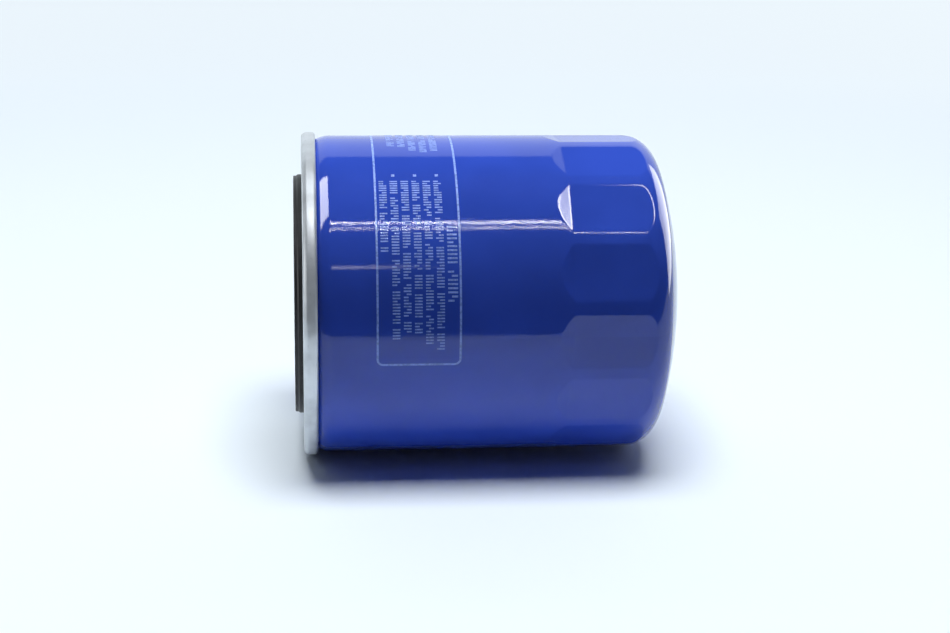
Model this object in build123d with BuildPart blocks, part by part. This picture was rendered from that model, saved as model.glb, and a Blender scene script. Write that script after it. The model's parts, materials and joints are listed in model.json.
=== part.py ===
from build123d import *
import math
import os

# Spin-on oil filter, lying on its side. Millimetres.
# +X runs along the filter's axis, from the threaded end to the domed end, and +Z is up.
# The origin is on the axis, at the mouth of the stud thread.
# Sections are drawn as (distance from the sealing face, radius) and revolved about the X axis.

# Driving dimensions: fit to the engine
gasket_outer_radius = 31.0
gasket_inner_radius = 27.3
gasket_thickness = 4.9
thread_minor_radius = 9.188  # M20 x 1.5
thread_length = 12.4
thread_chamfer = 0.8

# Driving dimensions: can and seam
filter_length = 99.0
can_radius = 41.0
can_sheet = 0.5
seam_radius = 41.9
seam_rim = 2.1
seam_end = 5.66
seam_gap = 0.05
lid_sheet = 0.6
neck_start = 5.76
neck_corner = 7.6

# Driving dimensions: fluted, domed end
flute_count = 15
flute_flat_radius = 40.4
flute_turn = 1.5
flute_ramp_start = 64.7
flute_ramp_end = 67.9
corner_radius = 8.0
dome_rise = 5.0

# Driving dimensions: base plate and its non-return valve
plate_thickness = 4.0
plate_radius = 38.8
collar_radius = 13.2
inlet_circle_radius = 20.0
inlet_radius = 3.0
inlet_count = 8
valve_hub_radius = 14.9
valve_lip_radius = 25.6
valve_clearance = 0.3

# Driving dimensions: filter element
element_start = 17.0
element_end = 85.0
element_radius = 36.0
cap_sheet = 0.4
potting_depth = 1.4
tube_radius = 16.0
tube_sheet = 0.5
pleat_count = 48
pleat_outer_radius = 34.6
pleat_inner_radius = 16.9
paper_thickness = 0.5

# Driving dimensions: relief valve and springs
relief_opening_radius = 6.0
relief_plate_radius = 14.3
relief_sheet = 0.8
cage_radius = 9.9
cage_sheet = 0.5
cage_floor = 72.05
stem_radius = 1.9
stem_clearance = 0.05
relief_wire_radius = 0.5
relief_coil_radius = 5.0
hold_down_wire_radius = 0.9

# Worked out from the driving dimensions
plate_front = 5.6
thread_mouth = plate_front + thread_chamfer
plate_back = plate_front + plate_thickness
collar_end = thread_mouth + thread_length + thread_chamfer
dome_centre_radius = can_radius - corner_radius
dome_radius = (dome_centre_radius**2 + dome_rise**2) / (2 * dome_rise)
dome_centre = filter_length - dome_radius
corner_centre = dome_centre + math.sqrt(
    (dome_radius - corner_radius) ** 2 - dome_centre_radius**2
)
dome_edge_angle = math.degrees(
    math.atan2(dome_centre_radius, corner_centre - dome_centre)
)
flute_angle = 360 / flute_count
fluted_start = 12.0

section_plane = Plane(origin=(-thread_mouth, 0, 0))


def cross_plane(station):
    """The plane across the axis at a distance from the sealing face."""
    return Plane.YZ.offset(station - thread_mouth)


def fluted_end(inset):
    """The can's straight, fluted and domed length as one solid, all faces moved inwards."""
    with BuildPart() as end:
        with BuildSketch(section_plane):
            with BuildLine():
                Polyline(
                    (filter_length - inset, 0),
                    (fluted_start, 0),
                    (fluted_start, can_radius - inset),
                    (corner_centre, can_radius - inset),
                )
                CenterArc(
                    (corner_centre, dome_centre_radius),
                    corner_radius - inset,
                    90,
                    dome_edge_angle - 90,
                )
                CenterArc((dome_centre, 0), dome_radius - inset, 0, dome_edge_angle)
            make_face()
        revolve(axis=Axis.X)
        beyond = can_radius + 5
        for flute in range(flute_count):
            turn = flute_angle * (flute + 0.5) + flute_turn
            with BuildSketch(section_plane.rotated((turn, 0, 0))):
                with BuildLine():
                    Polyline(
                        (flute_ramp_start, can_radius - inset),
                        (flute_ramp_end, flute_flat_radius - inset),
                        (filter_length, flute_flat_radius - inset),
                        (filter_length, beyond),
                        (flute_ramp_start, beyond),
                        close=True,
                    )
                make_face()
        half_width = can_radius * math.tan(math.radians(flute_angle / 2)) + 1
        extrude(amount=half_width, both=True, mode=Mode.SUBTRACT)
    return end.part


def coil(start, length, radius, turns, wire_radius, spread=0.0):
    """A coil spring along the axis; spread widens it towards the domed end."""
    first = start - thread_mouth
    with BuildPart() as spring:
        with BuildLine() as centre_line:
            Helix(
                pitch=length / turns,
                height=length,
                radius=radius,
                center=(first, 0, 0),
                direction=(1, 0, 0),
                cone_angle=math.degrees(math.atan2(spread, length)),
            )
        with BuildSketch(Plane(origin=centre_line.line @ 0, z_dir=centre_line.line % 0)):
            Circle(wire_radius)
        sweep(is_frenet=True)
    return spring.part


os.makedirs("parts", exist_ok=True)

# Rolled edge of the can: five layers of sheet, from the lid's outer wall inwards
lid_outer_wall = seam_radius - lid_sheet / 2
can_hook = lid_outer_wall - lid_sheet / 2 - seam_gap - can_sheet / 2
lid_hook = can_hook - can_sheet / 2 - seam_gap - lid_sheet / 2
can_wall = lid_hook - lid_sheet / 2 - seam_gap - can_sheet / 2
lid_inner_wall = can_wall - can_sheet / 2 - seam_gap - lid_sheet / 2
lid_rim = seam_rim + lid_sheet / 2
can_rim = seam_rim + lid_sheet + 0.1 + can_sheet / 2
can_hook_end = 4.45
lid_hook_end = 3.7
lid_bottom = seam_end - lid_sheet / 2

# Can: deep-drawn steel, fluted for a cap wrench
outer_end = fluted_end(0)
inner_end = fluted_end(can_sheet)
can_line = can_radius - can_sheet / 2
with BuildPart() as can:
    add(outer_end)
    add(inner_end, mode=Mode.SUBTRACT)
    with BuildSketch(section_plane):
        with BuildLine():
            FilletPolyline(
                (can_hook_end, can_hook),
                (can_rim, can_hook),
                (can_rim, can_wall),
                (neck_start, can_wall),
                (neck_corner, can_line),
                (fluted_start + 1, can_line),
                radius=[0.5, 0.5, 0.7, 7.0],
            )
            offset(amount=can_sheet / 2)
        make_face()
        with Locations((fluted_start, can_line)):
            Rectangle(4, 4, align=(Align.MIN, Align.CENTER), mode=Mode.SUBTRACT)
    revolve(axis=Axis.X)
can.part.label = "can"
export_step(can.part, "parts/can.step")

# Seaming lid: holds the gasket in its groove, and is rolled over the can's edge
groove_line = plate_front - lid_sheet / 2
with BuildPart() as seaming_lid:
    with BuildSketch(section_plane):
        with BuildLine():
            FilletPolyline(
                (2.5, gasket_inner_radius - 0.4),
                (groove_line, gasket_inner_radius - 0.4),
                (groove_line, gasket_outer_radius + 0.5),
                (2.9, gasket_outer_radius + 0.5),
                (2.9, 36.0),
                (groove_line, 37.6),
                (groove_line, lid_inner_wall),
                (lid_rim, lid_inner_wall),
                (lid_rim, lid_outer_wall),
                (lid_bottom, lid_outer_wall),
                (lid_bottom, lid_hook),
                (lid_hook_end, lid_hook),
                radius=[0.4, 0.4, 0.7, 1.0, 0.6, 0.4, 0.6, 0.95, 0.5, 0.5],
            )
            offset(amount=lid_sheet / 2)
        make_face()
    revolve(axis=Axis.X)
seaming_lid.part.label = "seaming_lid"
export_step(seaming_lid.part, "parts/seaming_lid.step")

# Sealing compound squeezed into the bottom of the rolled seam
with BuildPart() as seam_compound:
    with BuildSketch(section_plane):
        with BuildLine():
            Polyline(
                (can_hook_end + can_sheet / 2 + 0.03, can_hook - 0.15),
                (lid_bottom - lid_sheet / 2 - 0.02, can_hook - 0.15),
                (lid_bottom - lid_sheet / 2 - 0.02, can_hook + 0.15),
                (can_hook_end + can_sheet / 2 + 0.03, can_hook + 0.15),
                close=True,
            )
        make_face()
    revolve(axis=Axis.X)
seam_compound.part.label = "seam_compound"
export_step(seam_compound.part, "parts/seam_compound.step")

# Base plate: carries the stud thread in its collar, and the ring of inlet holes
with BuildPart() as base_plate:
    with BuildSketch(section_plane):
        with BuildLine():
            Polyline(
                (plate_front, thread_minor_radius + thread_chamfer),
                (plate_front, plate_radius),
                (plate_back - 0.8, plate_radius),
                (plate_back, plate_radius - 0.8),
                (plate_back, collar_radius),
                (collar_end - 0.6, collar_radius),
                (collar_end, collar_radius - 0.6),
                (collar_end, thread_minor_radius + thread_chamfer),
                (thread_mouth + thread_length, thread_minor_radius),
                (thread_mouth, thread_minor_radius),
                close=True,
            )
        make_face()
    revolve(axis=Axis.X)
    with BuildSketch(cross_plane(plate_front)):
        with PolarLocations(inlet_circle_radius, inlet_count):
            Circle(inlet_radius)
    extrude(amount=plate_thickness, mode=Mode.SUBTRACT)
base_plate.part.label = "base_plate"
export_step(base_plate.part, "parts/base_plate.step")

# Gasket: nitrile ring with a narrower nose that meets the engine
gasket_nose = 0.9
nose_inset = 0.35
with BuildPart() as gasket:
    with BuildSketch(section_plane) as gasket_section:
        with BuildLine():
            Polyline(
                (0, gasket_inner_radius + nose_inset),
                (0, gasket_outer_radius - nose_inset),
                (gasket_nose, gasket_outer_radius - nose_inset),
                (gasket_nose, gasket_outer_radius),
                (gasket_thickness, gasket_outer_radius),
                (gasket_thickness, gasket_inner_radius),
                (gasket_nose, gasket_inner_radius),
                (gasket_nose, gasket_inner_radius + nose_inset),
                close=True,
            )
        make_face()
        nose_corners = gasket_section.vertices().group_by(Axis.X)[0]
        fillet(nose_corners, radius=0.3)
        fillet(gasket_section.vertices().group_by(Axis.X)[-1], radius=0.4)
    revolve(axis=Axis.X)
gasket.part.label = "gasket"
export_step(gasket.part, "parts/gasket.step")

# Non-return valve, hub: the rubber sleeve clamped on the collar by the element
hub_inner = collar_radius + 0.05
hub_start = plate_back + 3.6
land_radius = 16.8
with BuildPart() as valve_hub:
    with BuildSketch(section_plane):
        with BuildLine():
            Polyline(
                (hub_start, hub_inner),
                (hub_start, valve_hub_radius),
                (14.9, valve_hub_radius),
                (15.5, land_radius),
                (element_start - 0.02, land_radius),
                (element_start - 0.02, hub_inner),
                close=True,
            )
        make_face()
    revolve(axis=Axis.X)
valve_hub.part.label = "non_return_valve_hub"
export_step(valve_hub.part, "parts/non_return_valve_hub.step")

# Non-return valve, lip: the skirt that lies over the inlet holes
lip_inner = valve_hub_radius + valve_clearance
with BuildPart() as valve_lip:
    with BuildSketch(section_plane):
        with BuildLine():
            Polyline(
                (plate_back + 2.2, lip_inner),
                (plate_back + 1.0, 17.5),
                (plate_back + 0.1, valve_lip_radius - 0.8),
                (plate_back + 0.1, valve_lip_radius),
                (plate_back + 1.0, valve_lip_radius),
                (plate_back + 2.2, 18.0),
                (plate_back + 3.4, lip_inner),
                close=True,
            )
        make_face()
    revolve(axis=Axis.X)
valve_lip.part.label = "non_return_valve_lip"
export_step(valve_lip.part, "parts/non_return_valve_lip.step")

# End caps of the element: pressed sheet trays that the paper is potted in
cap_rim = element_radius - cap_sheet / 2
lower_line = element_start + cap_sheet / 2
with BuildPart() as lower_end_cap:
    with BuildSketch(section_plane):
        with BuildLine():
            FilletPolyline(
                (element_start + 2.0, collar_radius + 0.5),
                (lower_line, collar_radius + 0.5),
                (lower_line, cap_rim),
                (element_start + 4.0, cap_rim),
                radius=0.5,
            )
            offset(amount=cap_sheet / 2)
        make_face()
    revolve(axis=Axis.X)
lower_end_cap.part.label = "lower_end_cap"
export_step(lower_end_cap.part, "parts/lower_end_cap.step")

upper_line = element_end - cap_sheet / 2
cap_neck = cage_radius + 0.7
with BuildPart() as upper_end_cap:
    with BuildSketch(section_plane):
        with BuildLine():
            FilletPolyline(
                (element_end - 4.0, cap_neck),
                (upper_line, cap_neck),
                (upper_line, cap_rim),
                (element_end - 4.0, cap_rim),
                radius=0.5,
            )
            offset(amount=cap_sheet / 2)
        make_face()
    revolve(axis=Axis.X)
upper_end_cap.part.label = "upper_end_cap"
export_step(upper_end_cap.part, "parts/upper_end_cap.step")

# Potting: the rings of adhesive that seal the paper to the end caps
potting_outer = element_radius - cap_sheet - 0.4
potting_inner = tube_radius + 0.05
lower_potting_start = element_start + cap_sheet
upper_potting_start = element_end - cap_sheet - potting_depth
with BuildPart() as lower_potting:
    with BuildSketch(cross_plane(lower_potting_start)):
        Circle(potting_outer)
        Circle(potting_inner, mode=Mode.SUBTRACT)
    extrude(amount=potting_depth)
lower_potting.part.label = "lower_potting"
export_step(lower_potting.part, "parts/lower_potting.step")

with BuildPart() as upper_potting:
    with BuildSketch(cross_plane(upper_potting_start)):
        Circle(potting_outer)
        Circle(potting_inner, mode=Mode.SUBTRACT)
    extrude(amount=potting_depth)
upper_potting.part.label = "upper_potting"
export_step(upper_potting.part, "parts/upper_potting.step")

# Centre tube: perforated steel, carries the paper against the oil's pressure
tube_start = lower_potting_start + 0.05
tube_end = element_end - cap_sheet - 0.05
perforation_radius = 2.0
perforation_rows = 9
perforations_across = 5
row_spacing = (tube_end - tube_start - 8) / perforation_rows
with BuildPart() as centre_tube:
    with BuildSketch(cross_plane(tube_start)):
        Circle(tube_radius)
        Circle(tube_radius - tube_sheet, mode=Mode.SUBTRACT)
    extrude(amount=tube_end - tube_start)
    for row in range(perforation_rows):
        along = tube_start + 4 + row_spacing * (row + 0.5) - thread_mouth
        stagger = 18 if row % 2 else 0
        for hole in range(perforations_across):
            around = math.radians(stagger + hole * 180 / perforations_across)
            across = (0, math.cos(around), math.sin(around))
            with BuildSketch(Plane(origin=(along, 0, 0), z_dir=across)):
                Circle(perforation_radius)
    extrude(amount=tube_radius + 1, both=True, mode=Mode.SUBTRACT)
centre_tube.part.label = "centre_tube"
export_step(centre_tube.part, "parts/centre_tube.step")


# Pleated paper: one folded ribbon, closed into a star by its seam clip
def polar(radius, degrees):
    """A point across the axis."""
    around = math.radians(degrees)
    return (radius * math.cos(around), radius * math.sin(around))


paper_start = lower_potting_start + potting_depth
paper_length = upper_potting_start - paper_start
pleat_angle = 360 / pleat_count
fold_half_width = 0.35
half_paper = paper_thickness / 2


def pleat_outline(side):
    """The paper's outer (side 1) or inner (side -1) outline, folded into a star."""
    outer_radius = pleat_outer_radius + side * half_paper
    inner_radius = pleat_inner_radius + side * half_paper
    outer_turn = math.degrees((fold_half_width + side * half_paper) / outer_radius)
    inner_turn = math.degrees((fold_half_width - side * half_paper) / inner_radius)
    points = []
    for pleat in range(pleat_count):
        ridge = pleat * pleat_angle
        valley = ridge + pleat_angle / 2
        points.append(polar(outer_radius, ridge - outer_turn))
        points.append(polar(outer_radius, ridge + outer_turn))
        points.append(polar(inner_radius, valley - inner_turn))
        points.append(polar(inner_radius, valley + inner_turn))
    return points


with BuildPart() as pleated_media:
    with BuildSketch(cross_plane(paper_start)):
        with BuildLine():
            Polyline(*pleat_outline(1), close=True)
        make_face()
        with BuildLine():
            Polyline(*pleat_outline(-1), close=True)
        make_face(mode=Mode.SUBTRACT)
    extrude(amount=paper_length)
pleated_media.part.label = "pleated_media"
export_step(pleated_media.part, "parts/pleated_media.step")

# Seam clip: a metal channel pinched over the fold where the paper's two ends meet
clip_wall = 0.3
clip_half_width = fold_half_width + half_paper + 0.12 + clip_wall / 2
clip_outer = pleat_outer_radius + half_paper + 0.05 + clip_wall / 2
with BuildPart() as media_seam_clip:
    with BuildSketch(cross_plane(paper_start + 0.2)):
        with BuildLine():
            Polyline(
                (clip_outer - 2.6, clip_half_width),
                (clip_outer, clip_half_width),
                (clip_outer, -clip_half_width),
                (clip_outer - 2.6, -clip_half_width),
            )
            offset(amount=clip_wall / 2, kind=Kind.INTERSECTION)
        make_face()
    extrude(amount=paper_length - 0.4)
media_seam_clip.part.label = "media_seam_clip"
export_step(media_seam_clip.part, "parts/media_seam_clip.step")

# Relief valve, seat plate: its rim is crimped round the cage's flange
seat_face = element_end + cage_sheet
with BuildPart() as relief_seat_plate:
    with BuildSketch(section_plane):
        with BuildLine():
            Polyline(
                (seat_face, relief_opening_radius),
                (seat_face, relief_plate_radius - 0.7),
                (element_end, relief_plate_radius - 0.7),
                (element_end, relief_plate_radius),
                (seat_face + relief_sheet, relief_plate_radius),
                (seat_face + relief_sheet, relief_opening_radius),
                close=True,
            )
        make_face()
    revolve(axis=Axis.X)
relief_seat_plate.part.label = "relief_seat_plate"
export_step(relief_seat_plate.part, "parts/relief_seat_plate.step")

# Relief valve, seal: a rubber washer bonded round the opening
seal_thickness = 1.0
with BuildPart() as relief_seal:
    with BuildSketch(cross_plane(seat_face - seal_thickness)):
        Circle(8.8)
        Circle(relief_opening_radius + 0.2, mode=Mode.SUBTRACT)
    extrude(amount=seal_thickness)
relief_seal.part.label = "relief_seal"
export_step(relief_seal.part, "parts/relief_seal.step")

# Relief valve, cage: a flanged cup with flow windows, which guides the poppet's stem
cage_line = cage_radius - cage_sheet / 2
window_start = cage_floor + 2.6
window_length = 6.0
window_width = 7.0
with BuildPart() as relief_cage:
    with BuildSketch(section_plane):
        with BuildLine():
            FilletPolyline(
                (cage_floor + cage_sheet / 2, stem_radius + stem_clearance + cage_sheet / 2),
                (cage_floor + cage_sheet / 2, cage_line),
                (element_end + cage_sheet / 2, cage_line),
                (element_end + cage_sheet / 2, relief_plate_radius - 1.1),
                radius=0.6,
            )
            offset(amount=cage_sheet / 2)
        make_face()
    revolve(axis=Axis.X)
    window_middle = window_start + window_length / 2 - thread_mouth
    for turn in (0, 90):
        around = math.radians(turn)
        across = (0, math.cos(around), math.sin(around))
        with BuildSketch(Plane(origin=(window_middle, 0, 0), x_dir=(1, 0, 0), z_dir=across)):
            RectangleRounded(window_length, window_width, 1.5)
    extrude(amount=cage_radius + 1, both=True, mode=Mode.SUBTRACT)
relief_cage.part.label = "relief_cage"
export_step(relief_cage.part, "parts/relief_cage.step")

# Relief valve, poppet: a disc that shuts the opening, on a guided stem
poppet_face = seat_face - seal_thickness - 0.05
poppet_disc = 1.2
with BuildPart() as relief_poppet:
    with BuildSketch(section_plane):
        with BuildLine():
            Polyline(
                (poppet_face, 0),
                (poppet_face, 8.2),
                (poppet_face - poppet_disc, 8.2),
                (poppet_face - poppet_disc, 4.2),
                (poppet_face - poppet_disc - 0.8, 3.6),
                (poppet_face - poppet_disc - 0.8, stem_radius),
                (cage_floor - 2.6, stem_radius),
                (cage_floor - 3.0, stem_radius - 0.4),
                (cage_floor - 3.0, 0),
                close=True,
            )
        make_face()
    revolve(axis=Axis.X)
relief_poppet.part.label = "relief_poppet"
export_step(relief_poppet.part, "parts/relief_poppet.step")

# Relief valve, spring: between the cage's floor and the poppet
spring_gap = 0.05
relief_spring_start = cage_floor + cage_sheet + relief_wire_radius + spring_gap
relief_spring_end = poppet_face - poppet_disc - relief_wire_radius - spring_gap
relief_spring = coil(
    relief_spring_start,
    relief_spring_end - relief_spring_start,
    relief_coil_radius,
    5,
    relief_wire_radius,
)
relief_spring.label = "relief_spring"
export_step(relief_spring, "parts/relief_spring.step")

# Hold-down spring: pushes the element onto the valve hub, from inside the dome
hold_down_foot = 11.5
hold_down_spread = 4.0
hold_down_start = seat_face + relief_sheet + hold_down_wire_radius + spring_gap
hold_down_end = (
    dome_centre
    + math.sqrt((dome_radius - can_sheet) ** 2 - (hold_down_foot + hold_down_spread + 1) ** 2)
    - hold_down_wire_radius
    - 0.15
)
hold_down_spring = coil(
    hold_down_start,
    hold_down_end - hold_down_start,
    hold_down_foot,
    3,
    hold_down_wire_radius,
    spread=hold_down_spread,
)
hold_down_spring.label = "hold_down_spring"
export_step(hold_down_spring, "parts/hold_down_spring.step")
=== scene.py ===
"""The visible pieces, finishes and stage of a spin-on oil filter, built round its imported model."""
import bpy
import json
import math
import random

from mathutils import Matrix, Vector, noise

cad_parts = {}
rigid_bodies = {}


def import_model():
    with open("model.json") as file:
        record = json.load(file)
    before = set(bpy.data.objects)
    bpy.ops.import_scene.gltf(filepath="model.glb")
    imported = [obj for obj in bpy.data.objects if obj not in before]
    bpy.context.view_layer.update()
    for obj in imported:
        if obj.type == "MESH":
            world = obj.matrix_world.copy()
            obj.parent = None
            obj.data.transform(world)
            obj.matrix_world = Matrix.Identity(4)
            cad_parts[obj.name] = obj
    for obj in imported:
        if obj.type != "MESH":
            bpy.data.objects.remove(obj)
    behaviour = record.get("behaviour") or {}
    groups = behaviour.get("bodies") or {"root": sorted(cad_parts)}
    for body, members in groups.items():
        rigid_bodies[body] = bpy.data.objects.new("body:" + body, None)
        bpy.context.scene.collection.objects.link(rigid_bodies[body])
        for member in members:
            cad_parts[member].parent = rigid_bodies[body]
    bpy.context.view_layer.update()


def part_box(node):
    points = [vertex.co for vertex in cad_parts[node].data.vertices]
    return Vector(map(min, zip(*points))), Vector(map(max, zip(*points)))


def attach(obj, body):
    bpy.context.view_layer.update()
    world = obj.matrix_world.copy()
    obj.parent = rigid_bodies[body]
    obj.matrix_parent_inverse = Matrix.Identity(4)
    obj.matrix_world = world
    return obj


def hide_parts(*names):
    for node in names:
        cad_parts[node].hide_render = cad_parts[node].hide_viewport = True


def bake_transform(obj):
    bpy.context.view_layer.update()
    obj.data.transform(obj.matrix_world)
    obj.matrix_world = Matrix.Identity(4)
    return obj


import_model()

bl_info = {
    "name": "Oil Filter Builder",
    "version": (1, 0, 0),
    "blender": (4, 5, 0),
    "location": "View3D > Sidebar > Oil Filter",
    "description": "Builds the visible pieces, finishes and stage of a spin-on oil filter",
    "category": "Add Mesh",
}

MM = 0.001
HAZE = (0.855, 0.935, 0.99)  # the pale colour of the far backdrop
PEEL_LUMPS = 2300  # lumps of orange peel in a metre of enamel
GRAIN_RADIUS = 41 * MM  # where the grain of the enamel and the ink is laid out round the can
SEAL_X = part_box("gasket")[0].x
APEX_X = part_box("can")[1].x
SEAM_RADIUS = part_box("seaming_lid")[1].z
FLOOR_Z = -SEAM_RADIUS


# Sizes and colours that a user may change


def length_property(name, description, default):
    """A length property, its default in millimetres."""
    return bpy.props.FloatProperty(
        name=name, description=description, default=default * MM, unit="LENGTH",
    )


def angle_property(name, description, default):
    """An angle property, its default in degrees."""
    return bpy.props.FloatProperty(
        name=name, description=description, default=math.radians(default), subtype="ANGLE",
    )


def colour_property(name, description, default):
    """A colour property."""
    return bpy.props.FloatVectorProperty(
        name=name, description=description, default=default, subtype="COLOR",
    )


class CanSizes(bpy.types.PropertyGroup):
    """The painted can."""

    radius: length_property("Radius", "Radius of the can's plain length", 41.0)
    sheet: length_property("Sheet", "Thickness of the can's steel", 0.5)
    flat_radius: length_property("Flat radius", "Distance of a flute's flat from the axis", 40.4)
    flutes: bpy.props.IntProperty(
        name="Flutes", description="Number of flats round the closed end", default=15,
    )
    flute_turn: angle_property("Flute turn", "Turn of the flats about the axis", 1.5)
    ramp_start: length_property(
        "Ramp start", "Where the flats start to sink in, from the sealing face", 64.7,
    )
    ramp_end: length_property(
        "Ramp end", "Where the flats reach their depth, from the sealing face", 67.9,
    )
    corner_radius: length_property("Corner radius", "Bend between the can's side and its domed end", 8.0)
    dome_rise: length_property("Dome rise", "Height of the domed end above its bend", 5.0)
    paint: colour_property("Paint", "Colour of the enamel", (0.025, 0.062, 0.41))


class PrintSizes(bpy.types.PropertyGroup):
    """The printed frame on the can."""

    low: length_property("Near edge", "Frame's edge nearest the sealing face, from that face", 19.73)
    high: length_property(
        "Far edge", "Frame's edge farthest from the sealing face, from that face", 40.31,
    )
    bottom: angle_property("Bottom", "Where the frame starts, above the horizon", -9.3)
    top: angle_property("Top", "Where the frame ends, over the top of the can", 128)
    corner: length_property("Corner", "Radius of the frame's corners", 1.6)
    line: length_property("Line", "Width of the frame's line", 0.5)
    ink: colour_property("Ink", "Colour of the print", (0.20, 0.31, 0.72))


class EndSizes(bpy.types.PropertyGroup):
    """The threaded end: rolled seam, gasket and base plate."""

    lid_sheet: length_property("Lid sheet", "Thickness of the seaming lid's steel", 0.6)
    gasket_outer: length_property("Gasket outer radius", "Outer radius of the gasket", 31.0)
    gasket_inner: length_property("Gasket inner radius", "Inner radius of the gasket", 27.3)
    thread_minor: length_property("Thread minor radius", "Radius at the crests of the stud thread", 9.188)
    thread_major: length_property("Thread major radius", "Radius at the roots of the stud thread", 10.0)
    thread_pitch: length_property("Thread pitch", "Advance of the stud thread in one turn", 1.5)
    zinc: colour_property("Zinc", "Colour of the plated lid", (0.63, 0.66, 0.69))
    rubber: colour_property("Rubber", "Colour of the gasket", (0.012, 0.012, 0.013))


class ElementSizes(bpy.types.PropertyGroup):
    """Colours of the filter element and its springs."""

    paper_colour: colour_property("Paper", "Colour of the pleated paper", (0.62, 0.38, 0.14))
    cap_colour: colour_property("End caps", "Colour of the end caps' tinplate", (0.66, 0.66, 0.64))
    potting_colour: colour_property("Potting", "Colour of the potting", (0.42, 0.10, 0.05))
    wire_colour: colour_property("Spring wire", "Colour of the springs' wire", (0.16, 0.16, 0.17))


class StageSizes(bpy.types.PropertyGroup):
    """The floor, backdrop, lights and camera."""

    floor_colour: colour_property("Floor", "Colour of the floor and backdrop", (0.83, 0.885, 0.935))
    key_power: bpy.props.FloatProperty(
        name="Overhead power", description="Power of the soft light overhead, in watts",
        default=21.0,
    )
    crown_power: bpy.props.FloatProperty(
        name="Crown power", description="Power of the soft light on the can's top, in watts",
        default=25.0,
    )
    azimuth: angle_property("Azimuth", "Camera's direction round the filter", -5.52)
    elevation: angle_property("Elevation", "Camera's height above the horizon", 17.0)
    roll: angle_property("Roll", "Camera's turn about its line of sight", 0.994)
    distance: length_property("Distance", "Camera's distance from what it looks at", 499.2)
    lens: bpy.props.FloatProperty(
        name="Lens", description="Focal length on a sensor 36 mm wide, in millimetres",
        default=71.69,
    )


# Shader maths written as Python expressions


def maths(operation, swap=False):
    """A method that adds one Math node; swap puts the other term first."""
    def method(self, other):
        terms = (other, self) if swap else (self, other)
        return self.math(operation, *terms)
    return method


class Value:
    """A socket that reads like a number: maths on it adds Math nodes."""

    def __init__(self, finish, socket):
        self.finish = finish
        self.socket = socket

    def math(self, operation, *terms):
        return self.finish.node("ShaderNodeMath", {"operation": operation}, dict(enumerate(terms)))

    __add__, __radd__ = maths("ADD"), maths("ADD", swap=True)
    __sub__, __rsub__ = maths("SUBTRACT"), maths("SUBTRACT", swap=True)
    __mul__, __rmul__ = maths("MULTIPLY"), maths("MULTIPLY", swap=True)
    __pow__, __lt__ = maths("POWER"), maths("LESS_THAN")

    def step(self, low, high):
        """0 below low, 1 above high, and smooth between them."""
        return self.finish.node(
            "ShaderNodeMapRange",
            {"interpolation_type": "SMOOTHSTEP", "clamp": True},
            {"Value": self, "From Min": low, "From Max": high},
        )


class Finish:
    """A material and the nodes that make it."""

    def __init__(self, name):
        self.material = bpy.data.materials.new(name)
        self.material.use_nodes = True
        self.nodes = self.material.node_tree.nodes
        self.links = self.material.node_tree.links
        self.nodes.clear()
        self.shader = self.nodes.new("ShaderNodeBsdfPrincipled")
        output = self.nodes.new("ShaderNodeOutputMaterial")
        self.links.new(self.shader.outputs["BSDF"], output.inputs["Surface"])

    def node(self, kind, settings=None, inputs=None, out=0):
        """Adds a node, sets its settings and then its sockets, and gives one output back."""
        node = self.nodes.new(kind)
        for name, value in (settings or {}).items():
            setattr(node, name, value)
        for name, value in (inputs or {}).items():
            self.feed(node.inputs[name], value)
        return Value(self, node.outputs[out])

    def feed(self, socket, value):
        """Links a value into a socket, or sets the socket to a plain number or colour."""
        if isinstance(value, Value):
            self.links.new(value.socket, socket)
        elif hasattr(value, "__len__") and len(value) == 3 and socket.type == "RGBA":
            socket.default_value = (*value, 1)
        else:
            socket.default_value = value

    def place(self):
        """The point on the piece at rest, in metres."""
        return self.node("ShaderNodeTexCoord", out="Object")

    def axes(self, point):
        """A point's x, y and z."""
        split = self.node("ShaderNodeSeparateXYZ", inputs={0: point}).socket.node
        return [Value(self, split.outputs[i]) for i in range(3)]

    def stretch(self, point, scale):
        """The point with each axis scaled."""
        return self.node(
            "ShaderNodeVectorMath", {"operation": "MULTIPLY"}, {0: point, 1: scale}
        )

    def grain(self, point, scale, detail=2.0, roughness=0.5, distortion=0.0):
        """Soft noise from 0 to 1; scale is its count of lumps in a metre."""
        return self.node(
            "ShaderNodeTexNoise",
            inputs={
                "Vector": point, "Scale": scale, "Detail": detail,
                "Roughness": roughness, "Distortion": distortion,
            },
        )

    def cells(self, point, scale):
        """Distance to the nearest of scattered points."""
        return self.node("ShaderNodeTexVoronoi", inputs={"Vector": point, "Scale": scale})

    def round_axis(self, point):
        """Angle round the filter's axis in turns, and the distance from it."""
        x, y, z = self.axes(point)
        turn = y.math("ARCTAN2", z, y) * (0.5 / math.pi)
        return x, turn, (y * y + z * z) ** 0.5

    def along_round(self, point, radius):
        """The surface of a cylinder laid flat: along, round and out, in metres."""
        x, turn, out = self.round_axis(point)
        return self.node(
            "ShaderNodeCombineXYZ", inputs={0: x, 1: turn * (2 * math.pi * radius), 2: out}
        )

    def blend(self, low, high, factor):
        """A colour between two colours."""
        return self.node(
            "ShaderNodeMix", {"data_type": "RGBA"},
            {"Factor": factor, "A": low, "B": high}, out="Result",
        )

    def bump(self, height, distance, strength=1.0, over=None):
        """A normal from a height of 0 to 1 that stands for a distance in metres."""
        inputs = {"Height": height, "Distance": distance, "Strength": strength}
        if over is not None:
            inputs["Normal"] = over
        return self.node("ShaderNodeBump", inputs=inputs)

    def surface(self, **sockets):
        """Sets the shader's own sockets, written with _ for a space."""
        for name, value in sockets.items():
            self.feed(self.shader.inputs[name.replace("_", " ")], value)
        return self.material


def scaled(colour, factor):
    """A colour made darker or lighter."""
    return tuple(min(1.0, channel * factor) for channel in colour)


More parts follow.
